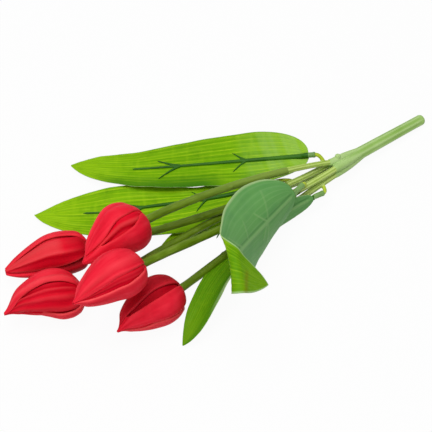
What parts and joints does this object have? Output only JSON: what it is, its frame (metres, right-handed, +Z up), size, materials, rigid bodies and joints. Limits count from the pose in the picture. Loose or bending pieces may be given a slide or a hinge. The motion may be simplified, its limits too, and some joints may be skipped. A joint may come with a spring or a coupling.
{
  "type": "artificial tulip bouquet",
  "caption": "Artificial tulip bouquet lying on its side: closed flower heads and long leaves on bendable branches that leave one moulded handle.",
  "frame": {"origin": "middle of the bounding box on the table it lies on", "axes": "+X along the handle to its free end, the flowers towards -X; +Z up from the table"},
  "size_m": [0.3522, 0.207, 0.1038],
  "materials": {
    "handle": "satin light-green moulding",
    "branch": "satin light-green moulding",
    "stem": "satin olive-green tube",
    "blade": "printed woven polyester, bluish green below",
    "rib": "dark-green moulding",
    "petal": "matte red foam sheet",
    "inner_petal": "matte red foam sheet",
    "core": "green moulding, hidden in the head",
    "wire": "drawn wire, hidden"
  },
  "bodies": {
    "handle": {"handle": "handle", "core_wire": "wire"},
    "stem_1": {"branch_1": "branch", "branch_wire_1": "wire", "flower_stem_1": "stem"},
    "leaf_1": {"leaf_blade_1": "blade", "leaf_rib_1": "rib"},
    "head_1": {"bud_core_1": "core", "inner_petals_1": "inner_petal", "outer_petal_1a": "petal", "outer_petal_1b": "petal", "outer_petal_1c": "petal"},
    "stem_2": {"branch_2": "branch", "branch_wire_2": "wire", "flower_stem_2": "stem"},
    "leaf_2": {"leaf_blade_2": "blade", "leaf_rib_2": "rib"},
    "head_2": {"bud_core_2": "core", "inner_petals_2": "inner_petal", "outer_petal_2a": "petal", "outer_petal_2b": "petal", "outer_petal_2c": "petal"},
    "stem_3": {"branch_3": "branch", "branch_wire_3": "wire", "flower_stem_3": "stem"},
    "leaf_3": {"leaf_blade_3": "blade", "leaf_rib_3": "rib"},
    "head_3": {"bud_core_3": "core", "inner_petals_3": "inner_petal", "outer_petal_3a": "petal", "outer_petal_3b": "petal", "outer_petal_3c": "petal"},
    "stem_4": {"branch_4": "branch", "branch_wire_4": "wire", "flower_stem_4": "stem"},
    "leaf_4": {"leaf_blade_4": "blade", "leaf_rib_4": "rib"},
    "head_4": {"bud_core_4": "core", "inner_petals_4": "inner_petal", "outer_petal_4a": "petal", "outer_petal_4b": "petal", "outer_petal_4c": "petal"},
    "stem_5": {"branch_5": "branch", "branch_wire_5": "wire", "flower_stem_5": "stem"},
    "leaf_5": {"leaf_blade_5": "blade", "leaf_rib_5": "rib"},
    "head_5": {"bud_core_5": "core", "inner_petals_5": "inner_petal", "outer_petal_5a": "petal", "outer_petal_5b": "petal", "outer_petal_5c": "petal"}
  },
  "joints": [
    {"name": "stem_1_bend", "type": "hinge", "parent": "handle", "child": "stem_1", "pos_m": [0.08524, -0.01388, 0.01859], "axis": [0.0605, 0.8748, -0.4806], "range_deg": [0, 15]},
    {"name": "leaf_1_turn", "type": "hinge", "parent": "stem_1", "child": "leaf_1", "pos_m": [0.07581, -0.00507, 0.02519], "axis": [-0.7581, 0.6139, -0.2198], "range_deg": [-3, 6]},
    {"name": "head_1_twist", "type": "hinge", "parent": "stem_1", "child": "head_1", "pos_m": [-0.06512, 0.00411, 0.04409], "axis": [-0.9878, -0.1125, 0.108], "range_deg": [-60, 60]},
    {"name": "stem_2_bend", "type": "hinge", "parent": "handle", "child": "stem_2", "pos_m": [0.08457, -0.01139, 0.01344], "axis": [-0.113, -0.0067, -0.9936], "range_deg": [0, 4]},
    {"name": "leaf_2_turn", "type": "hinge", "parent": "stem_2", "child": "leaf_2", "pos_m": [0.04143, -0.00055, 0.01237], "axis": [-0.9358, 0.3295, -0.1253], "range_deg": [-1, 0]},
    {"name": "head_2_twist", "type": "hinge", "parent": "stem_2", "child": "head_2", "pos_m": [-0.10482, 0.02478, 0.01648], "axis": [-0.9516, 0.3074, 0.0087], "range_deg": [-60, 60]},
    {"name": "stem_3_bend", "type": "hinge", "parent": "handle", "child": "stem_3", "pos_m": [0.08433, -0.01554, 0.00946], "axis": [0.027, -0.0072, 0.9996], "range_deg": [0, 4]},
    {"name": "leaf_3_turn", "type": "hinge", "parent": "stem_3", "child": "leaf_3", "pos_m": [0.05986, -0.01179, 0.00268], "axis": [-0.9986, 0.0523, 0.0052], "range_deg": [-3, 5]},
    {"name": "head_3_twist", "type": "hinge", "parent": "stem_3", "child": "head_3", "pos_m": [-0.12282, -0.00535, 0.01648], "axis": [-0.9664, 0.257, 0], "range_deg": [-60, 60]},
    {"name": "stem_4_bend", "type": "hinge", "parent": "handle", "child": "stem_4", "pos_m": [0.08541, -0.01959, 0.01779], "axis": [-0.1094, 0.9336, -0.3413], "range_deg": [0, 8]},
    {"name": "leaf_4_turn", "type": "hinge", "parent": "stem_4", "child": "leaf_4", "pos_m": [0.04968, -0.02431, 0.02941], "axis": [-0.9361, -0.3132, 0.1599], "range_deg": [-2, 25]},
    {"name": "head_4_twist", "type": "hinge", "parent": "stem_4", "child": "head_4", "pos_m": [-0.08912, -0.0303, 0.05397], "axis": [-0.9918, -0.052, 0.1168], "range_deg": [-60, 60]},
    {"name": "stem_5_bend", "type": "hinge", "parent": "handle", "child": "stem_5", "pos_m": [0.08485, -0.02061, 0.01215], "axis": [0.1102, -0.4134, 0.9039], "range_deg": [-2, 0]},
    {"name": "leaf_5_turn", "type": "hinge", "parent": "stem_5", "child": "leaf_5", "pos_m": [0.06554, -0.02968, 0.01314], "axis": [-0.9828, 0.0172, 0.184], "range_deg": [-1, 5]},
    {"name": "head_5_twist", "type": "hinge", "parent": "stem_5", "child": "head_5", "pos_m": [-0.06632, -0.03911, 0.01337], "axis": [-0.9816, -0.1119, 0.1546], "range_deg": [-60, 60]}
  ]
}
